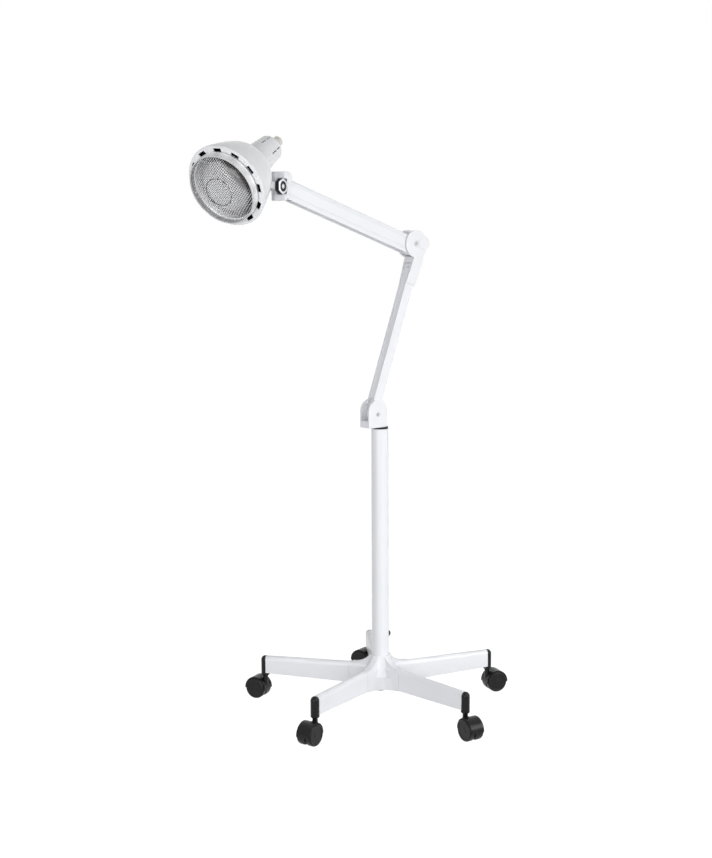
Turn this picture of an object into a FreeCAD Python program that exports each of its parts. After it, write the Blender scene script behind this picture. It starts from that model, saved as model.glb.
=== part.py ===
"""Salon infrared lamp on a castered five-star stand with a two-part arm.

Millimetres, +Z up, origin on the floor under the mast; the lamp head looks
towards -X.  Every function builds one piece and exports it as parts/NODE.step.
"""
import FreeCAD, Part
import math
import os

os.makedirs("parts", exist_ok=True)

V = FreeCAD.Vector
X = V(1, 0, 0)
Y = V(0, 1, 0)
Z = V(0, 0, 1)

# ---- five-star base ----
LEG_AZIMUTHS = [-90, -18, 54, 126, 198]
LEG_WIDTH = 20.0
LEG_TOP = 105.0
LEG_WALL = 2.2
STUB_WIDTH = 21.0
STUB_END = 75.0
STUB_BOTTOM = 56.0
LEG_END = 281.0
TIP_BOTTOM = 64.0
CAP_RADIUS = 284.0
CAP_BOTTOM = 56.5
COLLAR_R = 25.5
COLLAR_TOP = 128.0
THROAT_R = 38.0
HUB_FLOOR = 60.0
# ---- casters ----
TRAIL_AZIMUTHS = [-98.5, -18.5, 105.0, 112.5, 194.5]
TRAIL = 20.0
WHEEL_R = 25.0
WHEEL_IN = 4.6
WHEEL_OUT = 19.5
STEM_R = 5.5
# ---- mast ----
MAST_R = 20.0
MAST_BORE_R = 17.5
MAST_TOP = 665.0
SPIGOT_R = 8.0
FIT = 0.05
GLAND_AZIMUTH = 18.0
GLAND_Z = 170.0
# ---- fork at the mast top, (u, z) with u pointing to the head ----
FORK_U = 18.9
FORK_HALF = 27.85
FORK_SIDE = 16.0
FORK_BOTTOM = 669.7
FORK_FLOOR = 686.6
FORK_ARCH = 706.7
S1 = (19.5, 700.0)
# ---- lower arm ----
LOWER_ANGLE = 110.5
LOWER_SIDE = 11.0
LOWER_DEPTH = 25.0
LOWER_SHIFT = 7.2
WALL = 1.8
S2 = (-99.2, 1087.1)
CHEEK_R = 31.4
CHEEK_OUT = 16.0
CHEEK_IN = 13.0
LOBE = (-24.3, 1.5)
LOBE_R = 15.1
# ---- upper arm ----
UPPER_ANGLE = 19.0
UPPER_SIDE = 12.0
UPPER_HEIGHT = 41.0
UPPER_SHIFT = -6.7
ROOT_R = 27.0
CHANNEL_START = 8.0
CHANNEL_END = 386.0
# ---- head joint ----
KNUCKLE = V(-296.0, 0.0, 1212.0)
CLEVIS_BACK = 34.0
CLEVIS_TOP = 31.0
CLEVIS_LOW = -30.0
GAP = 16.6
JAW_R = 7.8
PIN_R = 4.0
# ---- head ----
HEAD_YAW = 17.6
HEAD_PITCH = 27.9
AXIS_UP = 78.1
RIM_AHEAD = 154.8
RIM_R = 89.2
SLOTS = 12
SLOT_R = 78.8
BEZEL_R = 75.7
BEZEL_FRONT = 18.9
GUARD_R = 69.8
GUARD_FRONT = 27.4
NECK_START = -98.6
NECK_END = -181.8


def az(deg):
    a = math.radians(deg)
    return V(math.cos(a), math.sin(a), 0)


HEAD_N = V(
    -math.cos(math.radians(HEAD_YAW)) * math.cos(math.radians(HEAD_PITCH)),
    -math.sin(math.radians(HEAD_YAW)) * math.cos(math.radians(HEAD_PITCH)),
    -math.sin(math.radians(HEAD_PITCH)),
)
HEAD_M = V(math.sin(math.radians(HEAD_YAW)), -math.cos(math.radians(HEAD_YAW)), 0)
HEAD_UP = HEAD_N.cross(HEAD_M)
RIM = KNUCKLE + HEAD_UP * AXIS_UP + HEAD_N * RIM_AHEAD


# ---- small builders ----

def box(x0, x1, y0, y1, z0, z1):
    return Part.makeBox(x1 - x0, y1 - y0, z1 - z0, V(x0, y0, z0))


def rod(start, direction, radius, length):
    return Part.makeCylinder(radius, length, start, direction)


def outward(solid):
    """The solid with its faces turned outwards."""
    if solid.Volume < 0:
        solid.reverse()
    return solid


def frame_shape(shape, origin, x_axis, z_axis):
    """Places a shape built about the origin into the frame given."""
    y_axis = z_axis.cross(x_axis)
    m = FreeCAD.Matrix(
        x_axis.x, y_axis.x, z_axis.x, origin.x,
        x_axis.y, y_axis.y, z_axis.y, origin.y,
        x_axis.z, y_axis.z, z_axis.z, origin.z,
        0, 0, 0, 1,
    )
    placed = shape.copy()
    placed.Placement = FreeCAD.Placement(m)
    return placed


def turned(points, radial=X, axis=Z, origin=V(0, 0, 0)):
    """Revolves a closed outline of (radius, height) points about an axis.

    A point with a third item is the middle of an arc; a list of points is one
    smooth curve from the point before it to its own last point.
    """
    def place(p):
        return origin + radial * p[0] + axis * p[1]

    edges = []
    last = place(points[0])
    ring = points[1:] + points[:1]
    i = 0
    while i < len(ring):
        item = ring[i]
        if isinstance(item, list):
            curve = Part.BSplineCurve()
            curve.interpolate([last] + [place(p) for p in item])
            edges.append(curve.toShape())
            last = place(item[-1])
        elif len(item) == 3:
            i += 1
            edges.append(Part.Arc(last, place(item), place(ring[i])).toShape())
            last = place(ring[i])
        else:
            edges.append(Part.makeLine(last, place(item)))
            last = place(item)
        i += 1
    return outward(Part.Face(Part.Wire(edges)).revolve(origin, axis, 360))


def prism(points, vector):
    """Extrudes a closed 3-D outline; a None before a point makes it an arc middle."""
    pts = [p for p in points if p is not None]
    mids = [k - points[:k].count(None) for k, p in enumerate(points) if p is None]
    edges = []
    n = len(pts)
    i = 0
    while i < n:
        j = (i + 1) % n
        if j in mids:
            edges.append(Part.Arc(pts[i], pts[j], pts[(j + 1) % n]).toShape())
            i += 2
        else:
            edges.append(Part.makeLine(pts[i], pts[j]))
            i += 1
    return outward(Part.Face(Part.Wire(edges)).extrude(vector))


def hexagon(centre, direction, across, length, corner=None):
    """A hexagonal prism along a direction, chamfered on its outer face."""
    if abs(direction.z) < 0.9:
        side = Z - direction * direction.z
    else:
        side = X - direction * direction.x
    side.normalize()
    other = direction.cross(side)
    r = across / math.sqrt(3)
    ring = []
    for k in range(6):
        a = math.radians(60 * k)
        ring.append(centre + side * (r * math.cos(a)) + other * (r * math.sin(a)))
    body = prism(ring, direction * length)
    if corner:
        cone = Part.makeCone(r + length, across / 2 - 0.3, r + length - across / 2 + 0.3,
                             centre + direction * (length - (r + length - across / 2 + 0.3)),
                             direction)
        body = body.common(cone)
    return body


def join(shapes):
    out = shapes[0].fuse(shapes[1:]) if len(shapes) > 1 else shapes[0]
    return out.removeSplitter()


def export(name, shapes):
    if not isinstance(shapes, list):
        shapes = [shapes]
    solids = []
    for s in shapes:
        solids += s.Solids
    shape = solids[0] if len(solids) == 1 else Part.makeCompound(solids)
    for s in solids:
        if not s.isValid():
            print("INVALID", name)
    shape.exportStep("parts/%s.step" % name)
    print(name, len(solids), round(sum(s.Volume for s in solids)))


# ---- the star base ----

def arch(half, top, bottom, r0, r1, direction):
    """A bar along a leg: flat sides, half-round top."""
    side = V(-direction.y, direction.x, 0)
    c = direction * r0
    mid = top - half
    pts = [
        c - side * half + Z * bottom,
        c + side * half + Z * bottom,
        c + side * half + Z * mid,
        None,
        c + Z * top,
        c - side * half + Z * mid,
    ]
    return prism(pts, direction * (r1 - r0))


def hub():
    """Cast five-way hub: sockets, webs between them and the mast collar."""
    half = STUB_WIDTH / 2
    s36 = math.sin(math.radians(36))
    c36 = math.cos(math.radians(36))
    fillet = (THROAT_R - half / s36) / (1 / s36 - 1)
    tangent = (fillet + half) / s36 * c36
    outline = []
    for a in LEG_AZIMUTHS:
        d = az(a)
        s = V(-d.y, d.x, 0)
        outline += [
            d * tangent - s * half,
            d * STUB_END - s * half,
            d * STUB_END + s * half,
            d * tangent + s * half,
            None,
            az(a + 36) * THROAT_R,
        ]
    star = prism([None if p is None else p + Z * 40 for p in outline], Z * 100)
    # closed walls between the sockets rising into a hollow-sided collar
    web = turned([
        (0, 40), (STUB_END + 5, 40), (STUB_END + 5, 82), (38, 82),
        (30.5, 101, 1), (COLLAR_R, 125), (COLLAR_R - 1, COLLAR_TOP), (0, COLLAR_TOP),
    ])
    # the ridge over every socket sweeps up to the same collar
    sweep = turned([
        (0, 40), (STUB_END + 5, 40), (STUB_END + 5, 105.9), (64, 105.9),
        (41, 111.3, 1), (COLLAR_R, 125.5), (COLLAR_R - 1, COLLAR_TOP), (0, COLLAR_TOP),
    ])
    body = star.common(web)
    r0 = MAST_R - 1
    for a in LEG_AZIMUTHS:
        d = az(a)
        bar = arch(half, 106, 45, r0, STUB_END, d).common(sweep)
        fin = arch(half - 3, COLLAR_TOP + 2, 90, r0, STUB_END - 8, d).common(sweep)
        tenon = arch(7.5, 102.4, 62, STUB_END - 5, STUB_END + 38, d)
        body = body.fuse([bar, fin, tenon])
    body = body.cut(rod(V(0, 0, HUB_FLOOR), Z, MAST_R, 100))
    body = body.cut(rod(V(0, 0, 30), Z, 8.5, 40))
    # the underside falls towards the middle
    under = turned([(0, 30), (0, 51), (THROAT_R, 51), (STUB_END + 4, STUB_BOTTOM + 0.5),
                    (STUB_END + 4, 30)])
    body = body.cut(under)
    # casting pockets in the underside
    for a in LEG_AZIMUTHS:
        body = body.cut(rod(az(a + 36) * 28 + Z * 40, Z, 4.5, 32))
        body = body.cut(arch(6.5, 79, 40, 36, 69, az(a)))
    return body.removeSplitter()


def leg(a):
    """Pressed leg: an upside-down channel with a half-round top."""
    d = az(a)
    start = STUB_END + 0.25
    outer = arch(LEG_WIDTH / 2, LEG_TOP, 50, start, LEG_END, d)
    inner = arch(LEG_WIDTH / 2 - LEG_WALL, LEG_TOP - LEG_WALL, 45, start - 1, LEG_END + 1, d)
    s = V(-d.y, d.x, 0) * 15
    wedge = prism([d * start + Z * 40 - s, d * start + Z * (STUB_BOTTOM + 0.6) - s,
                   d * LEG_END + Z * TIP_BOTTOM - s, d * LEG_END + Z * 40 - s], s * 2)
    return outer.cut(inner).cut(wedge)


def leg_cap(a):
    """Moulded end cap: domed post half outside the leg, plug inside it."""
    d = az(a)
    r = LEG_WIDTH / 2
    post = turned([
        (0, CAP_BOTTOM), (r - 2, CAP_BOTTOM), (r, CAP_BOTTOM + 2), (r, LEG_TOP - r),
        (r * math.sqrt(0.5), LEG_TOP - r + r * math.sqrt(0.5), 1), (0, LEG_TOP),
    ], origin=V(CAP_RADIUS, 0, 0))
    post = post.cut(box(200, LEG_END + 0.1, -20, 20, TIP_BOTTOM - 0.2, 120))
    plug = arch(7.6, 102.4, 66, 258, LEG_END + 0.1, X)
    body = post.fuse(plug).removeSplitter()
    body = body.cut(rod(V(CAP_RADIUS, 0, 40), Z, STEM_R + FIT, 52))
    return frame_shape(body, V(0, 0, 0), d, Z)


# ---- casters ----

def caster_frame(i):
    d = az(LEG_AZIMUTHS[i]) * CAP_RADIUS
    return d, az(TRAIL_AZIMUTHS[i])


def caster_hood(i):
    """Swivel body: centre web, half hood over both wheels, neck and steel stem."""
    w = V(TRAIL, 0, WHEEL_R)
    hood = rod(w - Y * 17, Y, 27.4, 34).cut(rod(w - Y * 20, Y, 25.8, 40))
    hood = hood.cut(box(-30, 60, -30, 30, -10, 23))
    web = rod(w - Y * 4, Y, 25.9, 8).cut(box(-30, 60, -30, 30, -10, 13))
    boss = rod(V(0, 0, 30), Z, 6.0, 25.6).cut(rod(w - Y * 20, Y, 25.8, 40))
    rib = box(-6, 12, -4, 4, 38, 50).common(rod(w - Y * 4, Y, 33, 8)).cut(rod(w - Y * 20, Y, 25.8, 40))
    neck = box(-5.4, 6, -4, 4, 30, 50).common(rod(V(0, 0, 20), Z, 6.0, 40))
    body = join([hood, web, boss, rib, neck])
    body = body.cut(rod(w - Y * 10, Y, 3.0 + FIT, 20))
    socket = rod(V(0, 0, 46), Z, STEM_R - 1.0, 20)
    stem = join([rod(V(0, 0, 46), Z, STEM_R - 1.0, 10.3), rod(V(0, 0, 56.0), Z, STEM_R, 33)])
    body = body.cut(socket)
    c, d = caster_frame(i)
    return [frame_shape(body, c, d, Z), frame_shape(stem, c, d, Z)]


def caster_wheels(i):
    """Two moulded wheels with dished outer faces, pressed on the axle."""
    w = V(TRAIL, 0, WHEEL_R)
    out = []
    c, d = caster_frame(i)
    for s in (1, -1):
        wheel = turned([
            (3.0, WHEEL_IN), (WHEEL_R - 2, WHEEL_IN), (WHEEL_R, WHEEL_IN + 2),
            (WHEEL_R, WHEEL_OUT - 4), (WHEEL_R - 1.3, WHEEL_OUT - 1.2, 1), (WHEEL_R - 4, WHEEL_OUT),
            (WHEEL_R - 6, WHEEL_OUT - 1.5), (6, WHEEL_OUT - 1.5), (5, WHEEL_OUT - 0.5),
            (0, WHEEL_OUT - 0.5), (0, 17), (3.0, 17),
        ], radial=X, axis=Y * s, origin=w)
        out.append(frame_shape(wheel, c, d, Z))
    return out


def caster_axle(i):
    c, d = caster_frame(i)
    return frame_shape(rod(V(TRAIL, -17, WHEEL_R), Y, 3.0, 34), c, d, Z)


# ---- mast ----

def gland_axis():
    d = az(GLAND_AZIMUTH)
    return V(0, 0, GLAND_Z), d


def mast():
    """Steel tube with a threaded plug welded in its foot."""
    tube = rod(V(0, 0, HUB_FLOOR), Z, MAST_R, MAST_TOP - HUB_FLOOR)
    tube = tube.cut(rod(V(0, 0, HUB_FLOOR + 14), Z, MAST_BORE_R, MAST_TOP))
    tube = tube.cut(rod(V(0, 0, HUB_FLOOR - 1), Z, 8.0, 13))
    c, d = gland_axis()
    return tube.cut(rod(c, d, 6.0, 40))


def mast_bolt():
    head = hexagon(V(0, 0, 47.6), V(0, 0, -1), 26.0, 6.2, True)
    return join([head, rod(V(0, 0, 47.6), Z, 8.0, 24)])


def mast_washer():
    return rod(V(0, 0, 47.6), Z, 16.5, 3.4).cut(rod(V(0, 0, 40), Z, 8.4, 20))


def mast_bush():
    """Flanged plastic bush in the mast top that the fork turns in."""
    bush = turned([
        (SPIGOT_R + FIT, 640), (MAST_BORE_R, 640), (MAST_BORE_R, MAST_TOP), (19, MAST_TOP),
        (19, 669.3), (SPIGOT_R + FIT, 669.3),
    ])
    return bush


def cable_gland():
    """Hexagon body with a domed clamping nut round the cable passage."""
    c, d = gland_axis()
    hexa = hexagon(c + d * 18, d, 17.0, 8.5)
    nut = turned([
        (0, 26.5), (8.2, 26.5), (8.2, 33), (7.4, 35.6, 1), (5.5, 37), (0, 37),
    ], radial=Z, axis=d, origin=c)
    body = join([hexa, nut]).cut(rod(V(0, 0, GLAND_Z - 30), Z, MAST_R, 60))
    thread = rod(c + d * 15, d, 6.0, 12)
    return join([body, thread]).cut(rod(c, d, 3.5, 50))


# ---- fork on the mast ----

def uz(u, z, y=0.0):
    return V(-u, y, z)


def fork():
    """Cast fork: round-topped cheeks either side of the lower arm."""
    left = FORK_U - FORK_HALF
    right = FORK_U + FORK_HALF
    y = FORK_SIDE
    body = prism([
        uz(left + 3, FORK_BOTTOM, -y), uz(right - 3, FORK_BOTTOM, -y),
        None, uz(right - 0.9, FORK_BOTTOM + 0.9, -y), uz(right, FORK_BOTTOM + 3, -y),
        uz(right, FORK_ARCH, -y), None, uz(FORK_U, FORK_ARCH + FORK_HALF, -y),
        uz(left, FORK_ARCH, -y), uz(left, FORK_BOTTOM + 3, -y),
        None, uz(left + 0.9, FORK_BOTTOM + 0.9, -y),
    ], Y * (2 * y))
    body = body.cut(box(-80, 60, -11.3, 11.3, FORK_FLOOR, 760))
    edges = [e for e in body.Edges
             if abs(abs(e.CenterOfMass.y) - y) < 0.01 and e.Length > 2]
    body = body.makeFillet(1.0, edges)
    body = body.cut(rod(uz(S1[0], S1[1], -20), Y, 5.0, 40))
    body = body.cut(rod(uz(S1[0], S1[1], -20), Y, 6.2, 5.2))
    body = body.cut(rod(uz(S1[0], S1[1], 20), V(0, -1, 0), 6.2, 5.2))
    # spigot seat under the fork
    body = body.cut(rod(V(0, 0, FORK_BOTTOM - 1), Z, 7.0, 11))
    return body


def spigot():
    """Turned steel post under the fork with its retaining collar."""
    return turned([
        (0, 628), (10.5, 628), (11.5, 629), (11.5, 634), (10.5, 635), (SPIGOT_R, 635),
        (SPIGOT_R, FORK_BOTTOM), (7.0, FORK_BOTTOM), (7.0, FORK_BOTTOM + 10),
        (0, FORK_BOTTOM + 10),
    ])


def pivot_pin(centre, radius, half):
    """Pivot pin with a hexagon socket in each end."""
    start = uz(centre[0], centre[1], -half)
    pin = rod(start, Y, radius, 2 * half)
    for y, direction in ((-half, Y), (half, V(0, -1, 0))):
        socket = hexagon(uz(centre[0], centre[1], y), direction, radius * 0.9, 3.0)
        pin = pin.cut(socket)
    return pin


def lower_pivot_washers():
    out = []
    for y in (-11.3, 9.8):
        ring = rod(uz(S1[0], S1[1], y), Y, 11.0, 1.5)
        out.append(ring.cut(rod(uz(S1[0], S1[1], y - 5), Y, 5.0, 12)))
    return out


# ---- lower arm, built along its own axis from the fork pivot ----

def arm_vectors(angle):
    a = math.radians(angle)
    along = uz(math.cos(a), math.sin(a))
    front = uz(math.sin(a), -math.cos(a))
    return along, front


LOW_A, LOW_F = arm_vectors(LOWER_ANGLE)
LOW_O = uz(*S1)
LOW_BACK = LOWER_SHIFT - LOWER_DEPTH / 2
LOW_FRONT = LOWER_SHIFT + LOWER_DEPTH / 2
HIGH_A, HIGH_LOWSIDE = arm_vectors(UPPER_ANGLE)
HIGH_O = uz(*S2)
HIGH_TOP = -UPPER_SHIFT - UPPER_HEIGHT / 2
HIGH_BOTTOM = -UPPER_SHIFT + UPPER_HEIGHT / 2


def arm_box(origin, along, front, s0, s1, f0, f1, y0, y1):
    """A block in an arm's frame: s along, f across, y sideways."""
    pts = [(s0, f0), (s1, f0), (s1, f1), (s0, f1)]
    return prism([origin + along * s + front * f + Y * y0 for s, f in pts], Y * (y1 - y0))


def low_box(s0, s1, f0, f1, y0, y1):
    return arm_box(LOW_O, LOW_A, LOW_F, s0, s1, f0, f1, y0, y1)


def high_box(s0, s1, f0, f1, y0, y1):
    return arm_box(HIGH_O, HIGH_A, HIGH_LOWSIDE, s0, s1, f0, f1, y0, y1)


ELBOW_S = (S2[0] - S1[0]) * math.cos(math.radians(LOWER_ANGLE)) \
    + (S2[1] - S1[1]) * math.sin(math.radians(LOWER_ANGLE))
YOKE_LOW = ELBOW_S - 92
YOKE_SEAT = ELBOW_S - 44


def lower_channel():
    """Pressed channel, open towards the lamp side."""
    w = LOWER_SIDE
    outer = low_box(17, YOKE_SEAT, LOW_BACK, LOW_FRONT, -w, w)
    long_edges = [e for e in outer.Edges if e.Length > 200
                  and (e.CenterOfMass - LOW_O).dot(LOW_F) < 0]
    outer = outer.makeFillet(2.5, long_edges)
    inner = low_box(0, 500, LOW_BACK + WALL, LOW_FRONT + 5, WALL - w, w - WALL)
    return outer.cut(inner)


def lower_strip():
    """Cover strip let into the open side of the channel."""
    w = LOWER_SIDE - WALL - 0.1
    strip = low_box(34, YOKE_SEAT - 1, LOW_FRONT - 4.5, LOW_FRONT - 3.0, -w, w)
    lips = []
    for y in (-w, w - 1.2):
        lips.append(low_box(34, YOKE_SEAT - 1, LOW_FRONT - 9, LOW_FRONT - 3.0, y, y + 1.2))
    strip = join([strip] + lips)
    hole = rod(LOW_O + LOW_A * (YOKE_SEAT - 9) + LOW_F * 10, LOW_F, 2.0, 20)
    return strip.cut(hole)


def lower_foot():
    """Pivot block in the fork, let into the end of the channel."""
    w = LOWER_SIDE - WALL - 0.1
    eye = rod(uz(S1[0], S1[1], -9.7), Y, 12.8, 19.4)
    neck = low_box(0, 24, LOW_BACK + WALL + 0.1, 12.5, -w, w)
    tenon = low_box(18, 70, LOW_BACK + WALL + 0.1, LOW_FRONT - 9.5, -w, w)
    body = join([eye, neck, tenon])
    return body.cut(rod(uz(S1[0], S1[1], -20), Y, 5.0 + FIT, 40))


def elbow_yoke():
    """Cast elbow: sleeve round the channel growing into two round cheeks."""
    y0 = LOWER_SIDE + 0.7
    base = LOW_O + LOW_F * (LOW_BACK - 2.0)
    depth = LOW_F * (LOWER_DEPTH + 2.0)
    sleeve = prism([
        base + LOW_A * YOKE_LOW - Y * y0, base + LOW_A * YOKE_LOW + Y * y0,
        base + LOW_A * (YOKE_SEAT + 4) + Y * CHEEK_OUT, base + LOW_A * ELBOW_S + Y * CHEEK_OUT,
        base + LOW_A * ELBOW_S - Y * CHEEK_OUT, base + LOW_A * (YOKE_SEAT + 4) - Y * CHEEK_OUT,
    ], depth)
    s2 = uz(S2[0], S2[1])
    lobe = uz(S2[0] + LOBE[0], S2[1] + LOBE[1])
    cheeks = []
    for y, t in ((-CHEEK_OUT, 1), (CHEEK_OUT, -1)):
        thick = CHEEK_OUT - CHEEK_IN
        disc = rod(s2 + Y * y, Y * t, CHEEK_R, thick)
        ear = rod(lobe + Y * (y - 0.6 * t), Y * t, LOBE_R, thick + 0.6)
        gap = lobe - s2
        reach = gap.Length
        e = gap / reach
        n = V(e.z, 0, -e.x)
        rise = (CHEEK_R - LOBE_R) / reach
        run = math.sqrt(1 - rise * rise)
        tang = []
        for sgn in (1, -1):
            t_dir = e * rise + n * (sgn * run)
            tang.append((s2 + t_dir * CHEEK_R, lobe + t_dir * LOBE_R))
        web = prism([tang[0][0] + Y * y, tang[0][1] + Y * y,
                     tang[1][1] + Y * y, tang[1][0] + Y * y], Y * (t * thick))
        cheeks += [disc, ear, web]
    throat = rod(s2 - Y * CHEEK_IN, Y, ROOT_R + 2.6, 2 * CHEEK_IN)
    open_side = low_box(ELBOW_S - 4, ELBOW_S + 40, LOW_BACK - 9, 80, -CHEEK_IN, CHEEK_IN)
    body = sleeve.cut(throat).cut(open_side)
    body = body.cut(low_box(0, YOKE_SEAT + 0.1, LOW_BACK - 0.05, 80,
                            -LOWER_SIDE - 0.05, LOWER_SIDE + 0.05))
    body = join([body] + cheeks)
    return body.cut(rod(s2 - Y * 30, Y, 6.0, 60)) \
               .cut(rod(s2 - Y * 30, Y, 7.0, 15.2)).cut(rod(s2 + Y * 14.8, Y, 7.0, 15.2))


def elbow_washers():
    out = []
    for y in (-CHEEK_IN, CHEEK_IN - 1.5):
        ring = rod(uz(S2[0], S2[1], y), Y, 12.0, 1.5)
        out.append(ring.cut(rod(uz(S2[0], S2[1], y - 5), Y, 6.0, 12)))
    return out


# ---- upper arm ----

def upper_root():
    """Round pivot block of the upper arm with a tenon into the channel."""
    w = UPPER_SIDE - WALL - 0.1
    s2 = uz(S2[0], S2[1])
    eye = rod(s2 - Y * w, Y, ROOT_R, 2 * w)
    hubs = rod(s2 - Y * 11.4, Y, 12.0, 22.8)
    tenon = high_box(0, 84, HIGH_TOP + WALL + 0.1, HIGH_BOTTOM - 9.8, -w, w)
    body = join([eye.common(high_box(-40, 60, HIGH_TOP + WALL + 0.1, 40, -20, 20)), hubs, tenon])
    return body.cut(rod(s2 - Y * 20, Y, 6.0 + FIT, 40))


def upper_channel():
    """Pressed channel, open below, with two shallow swages on each side."""
    w = UPPER_SIDE
    outer = high_box(CHANNEL_START, CHANNEL_END, HIGH_TOP, HIGH_BOTTOM, -w, w)
    long_edges = [e for e in outer.Edges if e.Length > 200
                  and (e.CenterOfMass - HIGH_O).dot(HIGH_LOWSIDE) < 0]
    outer = outer.makeFillet(3.5, long_edges)
    inner = high_box(-20, 420, HIGH_TOP + WALL, HIGH_BOTTOM + 5, WALL - w, w - WALL)
    body = outer.cut(inner)
    mid = -UPPER_SHIFT
    for f0, f1 in ((mid - 13.5, mid - 10.5), (mid + 10.0, mid + 11.4)):
        for y in (-w - 1, w - 0.5):
            body = body.cut(high_box(-20, 420, f0, f1, y, y + 1.5))
    disc = rod(HIGH_O - Y * 20, Y, 13.0, 40)
    return body.cut(disc)


def upper_cover():
    """Cover strip closing the open underside."""
    w = UPPER_SIDE - WALL - 0.1
    f = HIGH_BOTTOM - 2.5
    strip = high_box(32, CHANNEL_END - 26, f - 1.5, f, -w, w)
    lips = []
    for y in (-w, w - 1.2):
        lips.append(high_box(32, CHANNEL_END - 26, f - 7, f, y, y + 1.2))
    return join([strip] + lips)


def clevis():
    """Cast head clevis: tall block with two jaws round the swivel post."""
    k = KNUCKLE
    back = CLEVIS_BACK
    low = CLEVIS_LOW
    top = CLEVIS_TOP
    corner = 13.0
    q = corner * (1 - math.sqrt(0.5))
    side = prism([
        k + V(back, -30, low + corner), k + V(back, -30, top - corner), None,
        k + V(back - q, -30, top - q), k + V(back - corner, -30, top), k + V(-4, -30, top),
        None, k + V(-6.8, -30, top - 1.2), k + V(-8, -30, top - 4), k + V(-8, -30, low + 4), None,
        k + V(-6.8, -30, low + 1.2), k + V(-4, -30, low), k + V(back - corner, -30, low), None,
        k + V(back - q, -30, low + q),
    ], Y * 60)
    reach = math.hypot(13.0, 16.0)
    spread = math.atan2(16.0, 13.0) + math.acos(JAW_R / reach)
    t = (JAW_R * math.cos(spread), JAW_R * math.sin(spread))
    plan = prism([
        k + V(back + 5, -16, -60), k + V(back + 5, 16, -60), k + V(13, 16, -60),
        k + V(t[0], t[1], -60), None, k + V(-JAW_R, 0, -60), k + V(t[0], -t[1], -60),
        k + V(13, -16, -60),
    ], Z * 120)
    body = side.common(plan)
    body = body.cut(rod(k - Z * GAP, Z, 25.0, 2 * GAP))
    w = UPPER_SIDE - WALL - 0.1
    tenon = high_box(CHANNEL_END - 36, CHANNEL_END + 4, HIGH_TOP + WALL + 0.1, HIGH_BOTTOM - 9.8, -w, w)
    inside = tenon.cut(rod(k - Z * 40, Z, 26.0, 80))
    clear = high_box(0, CHANNEL_END + 0.1, HIGH_TOP - 20, HIGH_BOTTOM + 20, -20, 20)
    body = join([body.cut(clear), inside])
    return body.cut(rod(k - Z * 60, Z, PIN_R, 120))


def swivel_pins():
    """Two short pins through the jaws into the swivel block."""
    up = rod(KNUCKLE + Z * 8.5, Z, PIN_R, CLEVIS_TOP - 9.0)
    down = rod(KNUCKLE - Z * 8.5, V(0, 0, -1), PIN_R, -CLEVIS_LOW - 9.0)
    return [up, down]


def swivel_block():
    """Turned block between the jaws, cross-drilled for the tilt bolt."""
    h = GAP - 0.4
    body = rod(KNUCKLE - Z * h, Z, 8.0, 2 * h)
    for s in (1, -1):
        face = rod(KNUCKLE + HEAD_M * (7.2 * s), HEAD_M * s, 20.0, 10)
        body = body.cut(face)
    body = body.cut(rod(KNUCKLE + Z * 8.0, Z, PIN_R + FIT, 20))
    body = body.cut(rod(KNUCKLE - Z * 8.0, V(0, 0, -1), PIN_R + FIT, 20))
    return body.cut(rod(KNUCKLE - HEAD_M * 20, HEAD_M, PIN_R, 40))


def tilt_bolt():
    k = KNUCKLE
    head = hexagon(k - HEAD_M * 10.9, HEAD_M * -1, 14.0, 5.5, True)
    shank = rod(k - HEAD_M * 10.9, HEAD_M, PIN_R, 10.9 + 21.0)
    tip = Part.makeSphere(4.6, k + HEAD_M * 18.6).common(
        rod(k + HEAD_M * 20.2, HEAD_M, 4.0, 6))
    return join([head, shank, tip])


def tilt_nut():
    """Locking nut with a turned collar."""
    k = KNUCKLE
    nut = hexagon(k + HEAD_M * 11.9, HEAD_M, 25.0, 7.6, True)
    ring = turned([
        (PIN_R, 19.0), (11.5, 19.0), (11.5, 20.2), (11.2, 20.9, 1), (10.4, 21.2), (PIN_R, 21.2),
    ], radial=Z, axis=HEAD_M, origin=k)
    return join([nut, ring]).cut(rod(k, HEAD_M, PIN_R, 40))


def tilt_washer():
    return rod(KNUCKLE + HEAD_M * 10.9, HEAD_M, 12.5, 1.0).cut(
        rod(KNUCKLE, HEAD_M, PIN_R, 40))


# ---- head: everything is turned about the lamp axis, stations in front of the rim plane ----

def head_turned(points):
    return turned(points, radial=HEAD_UP, axis=HEAD_N, origin=RIM)


# the bell's outer curve from the rim seam to the neck, as (radius, station)
BELL_CURVE = [(85.2, -20), (80.8, -35), (75.3, -50), (70.5, -62), (64.8, -74), (58.0, -84),
              (50.5, -91), (43.5, -95.6), (36.0, NECK_START)]


def bell_outer():
    return [(RIM_R - 0.4, -5.4), BELL_CURVE]


def bell():
    """Spun bell from the rim seam back to the neck."""
    wall = 1.6
    inner = [(r - wall * 0.9, s + wall * 0.45) for r, s in BELL_CURVE[:-1]]
    body = head_turned(bell_outer() + [(36.0 - wall, NECK_START), inner[::-1] + [(RIM_R - 2.0, -5.4)]])
    for s in (-5.5, 5.5):
        at = KNUCKLE + PAD_Q * 50 + PAD_W * 4 + HEAD_M * s
        body = body.cut(rod(at, PAD_Q, 2.5, 35))
    return body


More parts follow.
